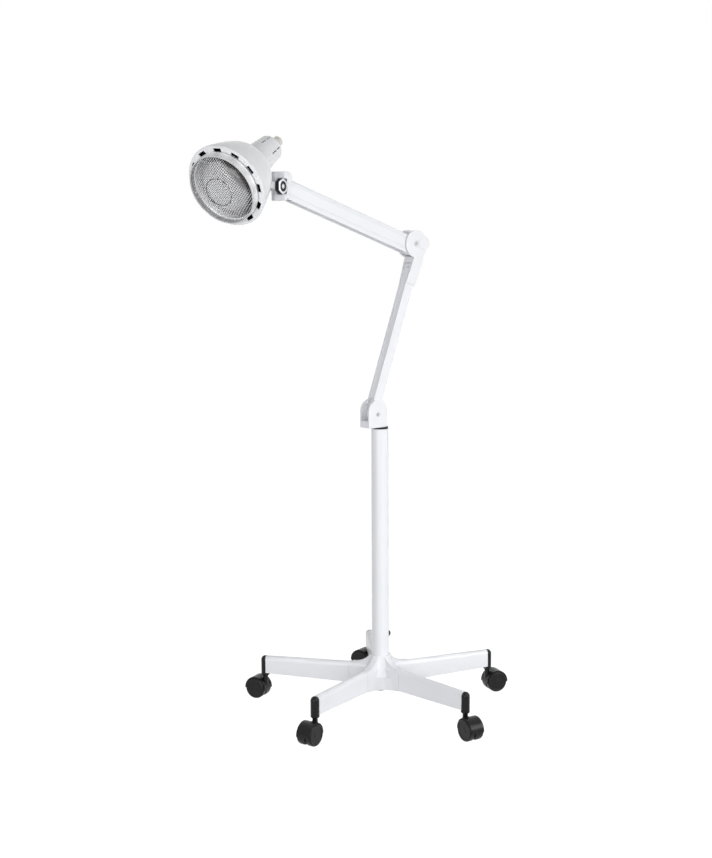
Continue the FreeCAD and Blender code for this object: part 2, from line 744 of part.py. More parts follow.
def neck():
    """Moulded neck with cooling slits and a rounded end."""
    outer = [
        (35.6, NECK_START - 0.15), (34.6, -109), (31.8, -140), (29.6, -165), (28.9, -173.5),
        (26.4, -179.6, 1), (20.6, NECK_END), (6.2, NECK_END),
    ]
    inner = [
        (6.2, -179.2), (19.8, -179.2), (24.2, -177.6, 1), (26.4, -173.0), (27.2, -165),
        (29.4, -140), (32.2, -109), (33.2, NECK_START - 0.15),
    ]
    body = head_turned(outer + inner)
    for k in range(6):
        a = math.radians(7.3 + 60 * k)
        radial = HEAD_M * math.cos(a) + HEAD_UP * math.sin(a)
        tangent = HEAD_N.cross(radial)
        for s0, s1 in ((-172.8, -160.8), (-156.6, -139.6)):
            p = RIM + HEAD_N * s0 - tangent * 1.2 + radial * 20
            slit = prism([p, p + tangent * 2.4, p + tangent * 2.4 + HEAD_N * (s1 - s0),
                          p + HEAD_N * (s1 - s0)], radial * 18)
            body = body.cut(slit)
    return body


def front_ring():
    """Rim moulding: slotted flange with a rounded edge, a skirt and an inner lip."""
    body = head_turned([
        (RIM_R, -5.0), (RIM_R, -2.2), (RIM_R - 0.6, -0.7, 1), (RIM_R - 2.1, 0.0), (84.0, -0.3),
        (76.0, -1.9), (71.5, -2.1), (70.8, -2.4, 1), (70.5, -3.1), (70.5, -9.0), (72.0, -9.0),
        (72.2, -4.2), (76.2, -4.0), (84.2, -2.4), (RIM_R - 2.2, -2.3), (RIM_R - 2.2, -5.0),
    ])
    for k in range(SLOTS):
        a = math.radians(30 * k - 4.9)
        radial = HEAD_M * math.cos(a) + HEAD_UP * math.sin(a)
        tangent = HEAD_N.cross(radial)
        c = RIM + radial * SLOT_R - HEAD_N * 8
        r = 1.6
        w = 9.0
        d = 4.4
        slot = prism([
            c + tangent * w - radial * (d - r), c + tangent * w + radial * (d - r),
            None, c + tangent * (w - 0.5) + radial * (d - 0.5), c + tangent * (w - r) + radial * d,
            c - tangent * (w - r) + radial * d,
            None, c - tangent * (w - 0.5) + radial * (d - 0.5), c - tangent * w + radial * (d - r),
            c - tangent * w - radial * (d - r),
            None, c - tangent * (w - 0.5) - radial * (d - 0.5), c - tangent * (w - r) - radial * d,
            c + tangent * (w - r) - radial * d,
            None, c + tangent * (w - 0.5) - radial * (d - 0.5),
        ], HEAD_N * 20)
        body = body.cut(slot)
    return body


def mesh_guard():
    """Polished collar with a rolled front edge, and the mesh dome in outline with its disc."""
    c = BEZEL_FRONT
    f = GUARD_FRONT
    r = GUARD_R
    return head_turned([
        (0, f - 1.5), (29.0, f - 1.5), (29.8, f), [(42.0, 25.2), (54.0, 20.2), (63.5, 12.6), (r, 4.0)],
        (71.2, 3.2), (72.6, c - 2.4), (74.0, c, 1), (BEZEL_R, c - 2.2), (BEZEL_R, 0.2),
        (74.9, -1.2, 1), (72.8, -1.6), (r, -1.6), (r, -7.0), (r - 1.2, -7.0),
        (r - 1.2, 3.2), [(62.6, 11.7), (53.4, 19.1), (41.7, 24.1), (30.4, f - 1.2)],
        (29.8, f - 2.7), (0, f - 2.7),
    ])


def bulb():
    """Reflector bulb blown as a thin envelope, open where the cap is cemented on."""
    return head_turned([
        (0, 16.5), [(20.0, 14.9), (38.0, 10.4), (50.0, 4.6), (56.0, -2.5), (57.4, -9.0)],
        [(55.5, -22), (45.5, -46), (32.0, -68), (22.0, -88), (18.0, -104)], (16.8, -104),
        [(20.8, -87.6), (30.8, -67.2), (44.3, -45.4), (54.3, -21.6), (56.2, -9.0)],
        [(54.9, -3.2), (49.4, 3.5), (37.6, 9.2), (19.8, 13.7), (0, 15.3)],
    ])


def bulb_cap():
    return head_turned([
        (0, -104.1), (16.0, -104.1), (13.4, -110), (13.4, -126), (8.0, -130), (5.0, -130),
        (5.0, -132), (0, -132),
    ])


def lamp_holder():
    """Ceramic lamp holder standing on the neck's end wall."""
    return head_turned([
        (13.6, -112), (20.5, -112), (20.5, -164), (16.0, -168), (16.0, -179.1), (8.0, -179.1),
        (8.0, -168), (0, -168), (0, -135), (13.6, -135),
    ])


def switch_knob():
    """Rotary switch knob: a skirt, a long round grip and a pointer rib along it."""
    e = NECK_END
    body = head_turned([
        (0, e - 0.4), (12.0, e - 0.4), (12.0, e - 4.2), (11.7, e - 4.9, 1), (11.0, e - 5.2),
        (10.5, e - 29.0), (10.0, e - 30.6, 1), (8.4, e - 31.2), (0, e - 31.2),
    ])
    shaft = rod(RIM + HEAD_N * (e + 8), HEAD_N * -1, 6.1, 9)
    c = RIM + HEAD_N * (e - 4.0) + HEAD_UP * 8.0
    rib = prism([c - HEAD_M * 1.3, c - HEAD_M * 1.3 + HEAD_UP * 4.0, c + HEAD_M * 1.3 + HEAD_UP * 4.0,
                 c + HEAD_M * 1.3], HEAD_N * -25.5)
    return join([body, shaft, rib])


PAD_Q = HEAD_N * 0.832 + HEAD_UP * 0.555
PAD_Q.normalize()
PAD_W = HEAD_M.cross(PAD_Q)


def head_bracket():
    """Bent yoke: two lugs from the tilt bolt to a foot on the back of the bell."""
    k = KNUCKLE
    parts = []
    for m0, m1 in ((8.3, 10.7), (-10.7, -8.3)):
        c = k + HEAD_M * m0
        eye = rod(c, HEAD_M, 9.0, m1 - m0)
        web = prism([c - PAD_W * 7, c + PAD_W * 7, c + PAD_W * 7.5 + PAD_Q * 30,
                     c + PAD_W * 13 + PAD_Q * 90, c - PAD_W * 13 + PAD_Q * 90,
                     c - PAD_W * 7.5 + PAD_Q * 30], HEAD_M * (m1 - m0))
        parts += [eye, web]
    p = k + PAD_Q * 60 - HEAD_M * 10.7
    parts.append(prism([p - PAD_W * 10.25, p + PAD_W * 10.25, p + PAD_W * 13 + PAD_Q * 30,
                        p - PAD_W * 13 + PAD_Q * 30], HEAD_M * 21.4))
    solid_head = head_turned(bell_outer() + [
        (36.0, NECK_START - 0.3), (32.2, -140), (29.6, -165), (0, -165), (0, -5.4),
    ])
    body = join(parts).cut(solid_head)
    body = max(body.Solids, key=lambda s: s.Volume)
    for s in (-5.5, 5.5):
        body = body.cut(rod(k + PAD_Q * 50 + PAD_W * 4 + HEAD_M * s, PAD_Q, 2.5, 35))
    return body.cut(rod(k - HEAD_M * 20, HEAD_M, PIN_R + FIT, 40))


def bracket_screws():
    """Pan-head screws driven from inside the bell into the foot."""
    out = []
    for s in (-5.5, 5.5):
        at = KNUCKLE + PAD_Q * 62.0 + PAD_W * 4 + HEAD_M * s
        out.append(join([rod(at, PAD_Q, 2.5, 12.0), rod(at + PAD_Q * 12.0, PAD_Q, 4.2, 2.4)]))
    return out


# ---- write every node ----

export("base_hub", hub())
for i, angle in enumerate(LEG_AZIMUTHS):
    export("leg_%d" % (i + 1), leg(angle))
    export("leg_cap_%d" % (i + 1), leg_cap(angle))
    export("caster_hood_%d" % (i + 1), caster_hood(i))
    export("caster_wheels_%d" % (i + 1), caster_wheels(i))
    export("caster_axle_%d" % (i + 1), caster_axle(i))
export("pole", mast())
export("pole_bolt", mast_bolt())
export("pole_washer", mast_washer())
export("pole_bush", mast_bush())
export("cable_gland", cable_gland())
export("swivel_fork", fork())
export("swivel_spigot", spigot())
export("lower_pivot_pin", pivot_pin(S1, 5.0, 14.6))
export("lower_pivot_washers", lower_pivot_washers())
export("lower_arm_channel", lower_channel())
export("lower_arm_strip", lower_strip())
export("lower_arm_foot", lower_foot())
export("elbow_yoke", elbow_yoke())
export("elbow_pin", pivot_pin(S2, 6.0, 14.6))
export("elbow_washers", elbow_washers())
export("upper_arm_root", upper_root())
export("upper_arm_channel", upper_channel())
export("upper_arm_cover", upper_cover())
export("head_clevis", clevis())
export("swivel_pins", swivel_pins())
export("swivel_block", swivel_block())
export("tilt_bolt", tilt_bolt())
export("tilt_nut", tilt_nut())
export("tilt_washer", tilt_washer())
export("head_bracket", head_bracket())
export("bracket_screws", bracket_screws())
export("bell_shell", bell())
export("neck_shell", neck())
export("front_ring", front_ring())
export("mesh_guard", mesh_guard())
export("bulb", bulb())
export("bulb_cap", bulb_cap())
export("lamp_holder", lamp_holder())
export("switch_knob", switch_knob())
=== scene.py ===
import math

import bpy
from mathutils import Matrix, Vector


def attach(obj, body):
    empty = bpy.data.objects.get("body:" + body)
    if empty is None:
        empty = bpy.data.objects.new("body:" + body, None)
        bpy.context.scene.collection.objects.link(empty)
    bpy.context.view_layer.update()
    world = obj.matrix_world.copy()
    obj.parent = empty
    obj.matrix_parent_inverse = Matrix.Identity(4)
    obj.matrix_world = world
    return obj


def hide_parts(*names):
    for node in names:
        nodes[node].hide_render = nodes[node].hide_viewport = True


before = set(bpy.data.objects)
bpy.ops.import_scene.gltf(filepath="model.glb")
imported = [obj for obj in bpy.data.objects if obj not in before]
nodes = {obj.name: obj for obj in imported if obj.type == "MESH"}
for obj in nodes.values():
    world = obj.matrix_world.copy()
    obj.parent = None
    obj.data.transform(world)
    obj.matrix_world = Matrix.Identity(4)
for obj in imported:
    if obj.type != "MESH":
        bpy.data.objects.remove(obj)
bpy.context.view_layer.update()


# ---------------------------------------------------------------------------
# Five-way hub.  A hollow aluminium casting, sprayed satin white: five stubs
# run into a flared collar that the mast stands in.
# ---------------------------------------------------------------------------
class Signal:
    """One socket of a material; sums on signals add Math nodes, and make() adds any other node."""

    def __init__(self, socket):
        self.socket = socket

    def make(self, kind, settings=None, sockets=None, out=0):
        tree = self.socket.id_data
        node = tree.nodes.new(kind)
        for key, value in (settings or {}).items():
            if key == "stops":
                ramp = node.color_ramp
                while len(ramp.elements) < len(value):
                    ramp.elements.new(0.5)
                for element, (place, colour) in zip(ramp.elements, value):
                    element.position = place
                    element.color = colour
            else:
                setattr(node, key, value)
        for key, value in (sockets or {}).items():
            if isinstance(value, Signal):
                tree.links.new(node.inputs[key], value.socket)
            else:
                node.inputs[key].default_value = value
        return Signal(node.outputs[out])

    def maths(self, operation, first, second):
        return self.make("ShaderNodeMath", {"operation": operation}, {0: first, 1: second})

    def root(self):
        return self.maths("POWER", self, 0.5)

    def __add__(self, other):
        return self.maths("ADD", self, other)

    def __radd__(self, other):
        return self.maths("ADD", other, self)

    def __sub__(self, other):
        return self.maths("SUBTRACT", self, other)

    def __rsub__(self, other):
        return self.maths("SUBTRACT", other, self)

    def __mul__(self, other):
        return self.maths("MULTIPLY", self, other)

    def __rmul__(self, other):
        return self.maths("MULTIPLY", other, self)

    def noise(self, scale, detail=3.0):
        """Cloudy noise from 0 to 1 with blotches of about 1/scale metres."""
        return self.make("ShaderNodeTexNoise", None,
                         {"Vector": self, "Scale": scale, "Detail": detail})

    def ramp(self, *stops):
        grey = [(place, (v, v, v, 1.0)) for place, v in stops]
        return self.make("ShaderNodeValToRGB", {"stops": grey}, {"Fac": self})

    def blend(self, low, high):
        """A colour that goes from low to high with this signal."""
        return self.make("ShaderNodeMix", {"data_type": "RGBA"},
                         {0: self, 6: low, 7: high}, out=2)

    def bump(self, strength, distance, rounding):
        """A bump of this height over edges rounded by so many metres."""
        edges = self.make("ShaderNodeBevel", {"samples": 4}, {"Radius": rounding})
        return self.make("ShaderNodeBump", None,
                         {"Strength": strength, "Distance": distance, "Height": self,
                          "Normal": edges})


def finish(name, constants):
    """A new material with constants on its shader; returns it, the shader and Object coordinates."""
    made = bpy.data.materials.new(name)
    made.use_nodes = True
    shader = made.node_tree.nodes["Principled BSDF"]
    for key, value in constants.items():
        shader.inputs[key].default_value = value
    place = made.node_tree.nodes.new("ShaderNodeTexCoord")
    return made, shader, Signal(place.outputs["Object"])


def feed(shader, sockets):
    """Links signals to the shader's own sockets."""
    for key, signal in sockets.items():
        shader.id_data.links.new(shader.inputs[key], signal.socket)


def painted(name, pale, shade, rough, coat, rounding, grain=1400.0, relief=0.00003):
    """Sprayed or powder-coated paint: fine orange peel, faint cloudiness, uneven gloss."""
    made, shader, at = finish(name, {"Coat Weight": coat, "Coat Roughness": 0.12, "IOR": 1.5})
    cloud = at.noise(9.0, 4.0)
    feed(shader, {
        "Base Color": cloud.ramp((0.30, 0.0), (0.75, 1.0)).blend(shade, pale),
        "Roughness": rough + (at.noise(60.0, 5.0) - 0.5) * 0.12,
        "Normal": at.noise(grain, 2.0).bump(0.25, relief, rounding),
    })
    return made


def dress(material, *names):
    """Gives CAD nodes this finish."""
    for name in names:
        for place in nodes[name].material_slots:
            place.material = material


CASTING = painted("cast_white", (0.800, 0.810, 0.832, 1), (0.775, 0.785, 0.808, 1), 0.36, 0.2, 0.0022)
dress(CASTING, "base_hub")


# ---------------------------------------------------------------------------
# Legs.  Five pressed steel arches, open below, powder-coated white, pushed on
# the hub's stubs; a black nylon cap closes each end and holds a caster stem.
# ---------------------------------------------------------------------------
PRESSED = painted("pressed_white", (0.800, 0.812, 0.838, 1), (0.778, 0.790, 0.815, 1), 0.34, 0.25, 0.0009)
dress(PRESSED, *[f"leg_{k}" for k in range(1, 6)])


def moulded(name, colour, dusty, rough, rounding, coat=0.0):
    """Spark-eroded plastic: fine pebble grain with dust caught in it."""
    made, shader, at = finish(name, {"IOR": 1.32, "Coat Weight": coat, "Coat Roughness": 0.15})
    grain = at.noise(2600.0, 2.0)
    dust = at.noise(140.0, 6.0).ramp((0.48, 0.0), (0.80, 1.0))
    feed(shader, {
        "Base Color": (dust * 0.55).blend(colour, dusty),
        "Roughness": rough + dust * 0.18 + (grain - 0.5) * 0.10,
        "Normal": grain.bump(0.30, 0.00005, rounding),
    })
    return made


NYLON = moulded("black_nylon", (0.003, 0.003, 0.0035, 1), (0.012, 0.012, 0.0125, 1), 0.24, 0.0012)
dress(NYLON, *[f"leg_cap_{k}" for k in range(1, 6)])


# ---------------------------------------------------------------------------
# Casters.  Five twin-wheel swivel casters, 50 mm, black nylon hoods over
# polyurethane-rimmed wheels on a plated steel axle and stem.
# ---------------------------------------------------------------------------
def machined(name, colour, worn, rough, streak=900.0, rounding=0.0003):
    """Turned or drawn metal: fine tool streaks, duller and brighter patches."""
    made, shader, at = finish(name, {"Metallic": 1.0})
    lines = at.make("ShaderNodeTexNoise", None,
                    {"Vector": at.make("ShaderNodeMapping", None,
                                       {"Vector": at, "Scale": (0.15, 0.15, 1.0)}),
                     "Scale": streak, "Detail": 3.0})
    feed(shader, {
        "Base Color": at.noise(180.0, 5.0).ramp((0.35, 0.0), (0.7, 1.0)).blend(colour, worn),
        "Roughness": rough + (lines - 0.5) * 0.16,
        "Normal": lines.bump(0.2, 0.00003, rounding),
    })
    return made


TREAD = moulded("tread_black", (0.004, 0.004, 0.0045, 1), (0.020, 0.019, 0.018, 1), 0.32, 0.0010)
STEEL = machined("bright_steel", (0.60, 0.60, 0.61, 1), (0.50, 0.50, 0.51, 1), 0.28)
for k in range(1, 6):
    dress(NYLON, f"caster_hood_{k}")
    dress(TREAD, f"caster_wheels_{k}")
    dress(STEEL, f"caster_axle_{k}")


# ---------------------------------------------------------------------------
# Mast.  Drawn steel tube, powder-coated white, bolted through the hub from
# below; the fork's spigot turns in a plastic bush in its top.
# ---------------------------------------------------------------------------
DARK_STEEL = machined("dark_steel", (0.045, 0.045, 0.048, 1), (0.075, 0.075, 0.08, 1), 0.34)
BUSH = moulded("bush_plastic", (0.014, 0.014, 0.015, 1), (0.04, 0.04, 0.042, 1), 0.45, 0.0004)
dress(PRESSED, "pole")
dress(DARK_STEEL, "pole_bolt", "pole_washer")
dress(BUSH, "pole_bush")
dress(NYLON, "cable_gland")


# ---------------------------------------------------------------------------
# Fork and arms.  Die-cast fork, elbow and clevis with pressed steel channels
# between them, all satin white, on plated pins with plastic washers.
# ---------------------------------------------------------------------------
dress(CASTING, "swivel_fork", "elbow_yoke", "head_clevis", "swivel_block")
dress(PRESSED, "lower_arm_channel", "lower_arm_strip", "lower_arm_foot", "upper_arm_channel",
      "upper_arm_cover", "upper_arm_root", "head_bracket")
dress(STEEL, "swivel_spigot", "lower_pivot_pin", "elbow_pin", "swivel_pins", "tilt_bolt",
      "tilt_washer", "bracket_screws")
dress(BUSH, "lower_pivot_washers", "elbow_washers")


# ---------------------------------------------------------------------------
# Tilt nut.  Bright zinc-plated hexagon lock nut with a black nylon insert, run
# up on the tilt bolt's domed end.
# ---------------------------------------------------------------------------
HEAD_YAW = math.radians(17.6)
HEAD_PITCH = math.radians(27.9)
LAMP_N = Vector((-math.cos(HEAD_YAW) * math.cos(HEAD_PITCH),
                 -math.sin(HEAD_YAW) * math.cos(HEAD_PITCH), -math.sin(HEAD_PITCH)))
LAMP_M = Vector((math.sin(HEAD_YAW), -math.cos(HEAD_YAW), 0.0))
LAMP_UP = LAMP_N.cross(LAMP_M)
KNUCKLE = Vector((-0.296, 0.0, 1.212))
RIM = KNUCKLE + LAMP_UP * 0.0781 + LAMP_N * 0.1548
LAMP = Matrix.Translation(RIM) @ Matrix((LAMP_M, LAMP_UP, LAMP_N)).transposed().to_4x4()
TILT = Matrix.Translation(KNUCKLE) @ Matrix((LAMP_UP, LAMP_N, LAMP_M)).transposed().to_4x4()
NUT_CORNER = 0.0165
NUT_BACK = 0.0119
NUT_FRONT = 0.0206
INSERT = [(0.0115, 0.0196), (0.0115, 0.0208), (0.0111, 0.0213), (0.0103, 0.0215), (0.0054, 0.0215),
          (0.0046, 0.0211), (0.0044, 0.0205), (0.0044, 0.0196)]


def lathed(name, rings, sides, closed):
    """Circles at (radius, height), extruded one from the other; closed joins the last to the first."""
    bpy.ops.object.select_all(action="DESELECT")
    bpy.ops.mesh.primitive_circle_add(vertices=sides, radius=rings[0][0], location=(0, 0, rings[0][1]))
    made = bpy.context.object
    made.name = name
    bpy.ops.object.transform_apply(location=True, rotation=False, scale=False)
    bpy.ops.object.mode_set(mode="EDIT")
    bpy.ops.mesh.select_mode(type="VERT")
    bpy.ops.mesh.select_all(action="SELECT")
    for (r0, z0), (r1, z1) in zip(rings, rings[1:]):
        bpy.ops.mesh.extrude_edges_move(TRANSFORM_OT_translate={"value": (0, 0, z1 - z0)})
        bpy.ops.transform.resize(value=(r1 / r0, r1 / r0, 1.0), center_override=(0.0, 0.0, z1))
    if closed:
        bpy.ops.object.mode_set(mode="OBJECT")
        count = len(made.data.vertices)
        for v in made.data.vertices:
            v.select = v.index < sides or v.index >= count - sides
        bpy.ops.object.mode_set(mode="EDIT")
        bpy.ops.mesh.bridge_edge_loops()
    else:
        bpy.ops.mesh.merge(type="CENTER")
    bpy.ops.mesh.select_all(action="SELECT")
    bpy.ops.mesh.normals_make_consistent(inside=False)
    bpy.ops.object.mode_set(mode="OBJECT")
    return made


def within(at, place):
    """Object coordinates seen from this place: its Z runs along the axis of what stands there."""
    back = place.inverted()
    return at.make("ShaderNodeMapping", {"vector_type": "POINT"},
                   {"Vector": at, "Location": tuple(back.to_translation()),
                    "Rotation": tuple(back.to_euler())})


def zinc():
    """Zinc plate, bright on the nut's face; its six sides are coloured dark as a painted reflection."""
    made, shader, at = finish("zinc_plate", {"Metallic": 1.0})
    inside = within(at, TILT)
    station = inside.make("ShaderNodeSeparateXYZ", None, {"Vector": inside}, out=2)
    # Faces near the front stay bright zinc; the six sides get a dark colour, a painted reflection of dark
    # surroundings.
    face = ((station - NUT_FRONT + 0.0012) * 900.0).ramp((0.0, 0.0), (1.0, 1.0))
    feed(shader, {
        "Base Color": face.blend((0.055, 0.055, 0.06, 1), (0.74, 0.75, 0.78, 1)),
        "Roughness": 0.30 + (at.noise(500.0, 4.0) - 0.5) * 0.14,
    })
    return made


bpy.ops.object.select_all(action="DESELECT")
bpy.ops.mesh.primitive_cylinder_add(vertices=6, radius=NUT_CORNER, depth=NUT_FRONT - NUT_BACK,
                                    location=(0.0, 0.0, (NUT_FRONT + NUT_BACK) / 2))
nut = bpy.context.object
nut.name = "lock_nut"
bpy.ops.object.transform_apply(location=True, rotation=True, scale=True)
for face in nut.data.polygons:
    face.select = face.normal.z > 0.9
bpy.ops.object.mode_set(mode="EDIT")
bpy.ops.mesh.select_mode(type="FACE")
bpy.ops.mesh.inset(thickness=0.0009, depth=0.0007)
bpy.ops.mesh.inset(thickness=0.0021, depth=0.0)
bpy.ops.mesh.extrude_region_move(TRANSFORM_OT_translate={"value": (0.0, 0.0, -0.0006)})
bpy.ops.object.mode_set(mode="OBJECT")
rounding = nut.modifiers.new("rounding", "BEVEL")
rounding.width = 0.0004
rounding.segments = 2
bpy.ops.object.modifier_apply(modifier="rounding")
bpy.ops.object.shade_smooth_by_angle(angle=math.radians(30))
nut.data.materials.append(zinc())
insert = lathed("nut_insert", INSERT, 48, True)
bpy.ops.object.shade_smooth_by_angle(angle=math.radians(40))
insert.data.materials.append(NYLON)
for piece in (nut, insert):
    piece.data.transform(TILT)
    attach(piece, "head_swivel")
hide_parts("tilt_nut")


# ---------------------------------------------------------------------------
# Lamp shell.  Spun aluminium bell, moulded neck and slotted front ring, gloss
# white outside and painted shade (near-black) inside, on one axis through the bulb.
# ---------------------------------------------------------------------------
SHELL = painted("shell_white", (0.815, 0.822, 0.838, 1), (0.795, 0.802, 0.820, 1), 0.24, 0.45, 0.0008,
                2400.0, 0.000015)
# Near-black inside finish: painted shade standing in for the shadow inside the bell and neck.
PAINTED_SHADE_INSIDE = painted("painted_shade_inside", (0.020, 0.019, 0.019, 1), (0.010, 0.010, 0.010, 1), 0.55, 0.0, 0.0005)
dress(SHELL, "front_ring")


def lined(name):
    """A copy of a lamp shell with its inner wall in the near-black finish, painted shade."""
    made = bpy.data.objects.new(name + "_lined", nodes[name].data.copy())
    bpy.context.scene.collection.objects.link(made)
    bpy.ops.object.select_all(action="DESELECT")
    made.select_set(True)
    bpy.context.view_layer.objects.active = made
    bpy.ops.mesh.customdata_custom_splitnormals_clear()
    bpy.ops.object.mode_set(mode="EDIT")
    bpy.ops.mesh.select_all(action="SELECT")
    bpy.ops.mesh.remove_doubles(threshold=0.000002)
    bpy.ops.object.mode_set(mode="OBJECT")
    made.data.materials.clear()
    made.data.materials.append(SHELL)
    made.data.materials.append(PAINTED_SHADE_INSIDE)
    for face in made.data.polygons:
        arm = face.center - RIM
        outward = arm - LAMP_N * arm.dot(LAMP_N)
        if face.normal.dot(outward) < -0.2 * outward.length:
            face.material_index = 1
    bpy.ops.object.shade_smooth_by_angle(angle=math.radians(32))
    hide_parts(name)
    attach(made, "head")
    return made


lined("neck_shell")
lined("bell_shell")


# ---------------------------------------------------------------------------
# Guard.  A rolled, polished steel bezel holds a dome of crimped, woven steel
# wire with a round disc pressed into its middle.
# ---------------------------------------------------------------------------
GUARD_PITCH = 0.0042
WIRE = 0.00050
DOME = [(0.0745, 0.0012), (0.0712, 0.0032), (0.0695, 0.0044), (0.0670, 0.0080), (0.0635, 0.0126),
        (0.0590, 0.0168), (0.0540, 0.0202), (0.0480, 0.0231), (0.0420, 0.0252), (0.0360, 0.0265),
        (0.0312, 0.0271), (0.0300, 0.0271), (0.0290, 0.0257), (0.0240, 0.0257), (0.0060, 0.0257)]
BEZEL = [(0.0697, -0.0014), (0.0697, 0.0024), (0.0700, 0.0036), (0.0708, 0.0043), (0.0716, 0.0040),
         (0.0720, 0.0030), (0.0725, 0.0040), (0.0729, 0.0150), (0.0727, 0.0162), (0.0730, 0.0178),
         (0.0740, 0.0187), (0.0751, 0.0184), (0.0757, 0.0174), (0.0755, 0.0162), (0.0750, 0.0155),
         (0.0750, 0.0030), (0.0753, 0.0020), (0.0757, 0.0012), (0.0756, 0.0000), (0.0748, -0.0011),
         (0.0728, -0.0015)]


def on_lamp(made, body="head"):
    """Moves a piece made about +Z at the origin to the lamp's rim and axis."""
    made.data.transform(LAMP)
    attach(made, body)


def polished():
    """Rolled and polished steel: bands of painted highlight and painted shade run round it, dark in its
    grooves and at its lip.
    """
    made, shader, at = finish("polished_steel", {"Metallic": 0.55})
    inside = within(at, LAMP)
    across, along, station = [inside.make("ShaderNodeSeparateXYZ", None, {"Vector": inside}, out=k)
                              for k in range(3)]
    far = (across * across + along * along).root()
    outer = ((far - 0.0744) * 2500.0).ramp((0.0, 0.0), (1.0, 1.0))
    # Bright and dark bands by station along the lamp axis: painted highlights and painted shade.
    painted_light_bands = (station * 40.0 + 0.1).ramp((0.03, 0.25), (0.10, 0.80), (0.20, 0.97), (0.285, 0.97),
                                        (0.32, 0.72), (0.50, 0.84), (0.66, 0.72), (0.72, 0.95),
                                        (0.78, 0.95), (0.815, 0.35), (0.85, 0.75))
    feed(shader, {
        "Base Color": painted_light_bands.blend((0.12, 0.12, 0.125, 1), (0.92, 0.92, 0.93, 1)),
        "Roughness": 0.26 + outer * 0.40 + (at.noise(300.0, 4.0) - 0.5) * 0.10,
        "Normal": at.noise(120.0, 2.0).bump(0.15, 0.0001, 0.0003),
    })
    return made


POLISHED = polished()
bezel = lathed("guard_bezel", BEZEL, 160, True)
bezel.data.materials.append(POLISHED)
bpy.ops.object.shade_smooth_by_angle(angle=math.radians(40))
on_lamp(bezel)

# A steel ring on the edge of the pressed disc, in dark steel as painted shade for the step's shaded side.
disc_edge = lathed("guard_disc_edge", [(0.0287, 0.0260), (0.0290, 0.0270), (0.0298, 0.0275),
                                        (0.0306, 0.0271), (0.0309, 0.0262), (0.0298, 0.0254)], 96, True)
disc_edge.data.materials.append(DARK_STEEL)
bpy.ops.object.shade_smooth_by_angle(angle=math.radians(60))
on_lamp(disc_edge)

former = lathed("dome_former", DOME, 96, False)


def wires(name, way):
    """One family of crimped wires: over and under at each crossing, pressed on the dome."""
    cells = 36
    bpy.ops.object.select_all(action="DESELECT")
    bpy.ops.mesh.primitive_grid_add(x_subdivisions=cells, y_subdivisions=cells,
                                    size=cells * GUARD_PITCH, location=(0.0, 0.0, 0.05),
                                    rotation=(0.0, 0.0, math.radians(45)))
    made = bpy.context.object
    made.name = name
    bpy.ops.object.transform_apply(location=True, rotation=True, scale=True)
    row = cells + 1
    for label, parity in (("over", way), ("under", 1 - way)):
        group = made.vertex_groups.new(name=label)
        group.add([i for i in range(row * row) if (i % row + i // row) % 2 == parity], 1.0, "REPLACE")
    press = made.modifiers.new("press", "SHRINKWRAP")
    press.target = former
    press.wrap_method = "PROJECT"
    press.use_project_z = True
    press.use_negative_direction = True
    press.use_positive_direction = False
    bpy.ops.object.modifier_apply(modifier="press")
    for label, lift in (("over", WIRE * 0.98), ("under", -WIRE * 0.98)):
        crimp = made.modifiers.new(label, "DISPLACE")
        crimp.vertex_group = label
        crimp.strength = lift
        crimp.mid_level = 0.0
        bpy.ops.object.modifier_apply(modifier=label)
    bpy.ops.object.mode_set(mode="EDIT")
    bpy.ops.mesh.select_mode(type="EDGE")
    bpy.ops.mesh.select_all(action="DESELECT")
    bpy.ops.object.mode_set(mode="OBJECT")
    for edge in made.data.edges:
        a, b = edge.vertices
        edge.select = (abs(a - b) == 1) == (way == 1)
    bpy.ops.object.mode_set(mode="EDIT")
    bpy.ops.mesh.delete(type="EDGE")
    bpy.ops.mesh.select_mode(type="VERT")
    bpy.ops.mesh.select_all(action="DESELECT")
    bpy.ops.object.mode_set(mode="OBJECT")
    for v in made.data.vertices:
        v.select = math.hypot(v.co.x, v.co.y) > 0.0722
    bpy.ops.object.mode_set(mode="EDIT")
    bpy.ops.mesh.delete(type="VERT")
    bpy.ops.object.mode_set(mode="OBJECT")
    bpy.ops.object.convert(target="CURVE")
    made = bpy.context.object
    made.data.bevel_depth = WIRE
    made.data.bevel_resolution = 1
    bpy.ops.object.convert(target="MESH")
    made = bpy.context.object
    bpy.ops.object.shade_smooth()
    return made


def wire_steel():
    """Drawn stainless wire, coloured darker along one side of the dome as painted shade."""
    made, shader, at = finish("wire_steel", {"Metallic": 1.0})
    inside = within(at, LAMP)
    across, along = [inside.make("ShaderNodeSeparateXYZ", None, {"Vector": inside}, out=k)
                     for k in range(2)]
    # Darkens the wires on one side of the dome: painted shade.
    painted_shade_side = ((across * 0.86 + along * 0.5 - 0.046) * 110.0).ramp((0.0, 0.0), (1.0, 1.0))
    wire_tone = at.noise(420.0, 3.0).ramp((0.35, 0.0), (0.70, 1.0)).blend((0.74, 0.74, 0.75, 1),
                                                                   (0.95, 0.95, 0.96, 1))
    feed(shader, {
        "Base Color": painted_shade_side.blend(wire_tone, (0.16, 0.155, 0.155, 1)),
        "Roughness": 0.34 + at.noise(90.0, 2.0) * 0.12,
    })
    return made


WIRE_STEEL = wire_steel()
for label, way in (("guard_warp", 0), ("guard_weft", 1)):
    family = wires(label, way)
    family.data.materials.clear()
    family.data.materials.append(WIRE_STEEL)
    on_lamp(family)
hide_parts("mesh_guard")
bpy.data.objects.remove(former)


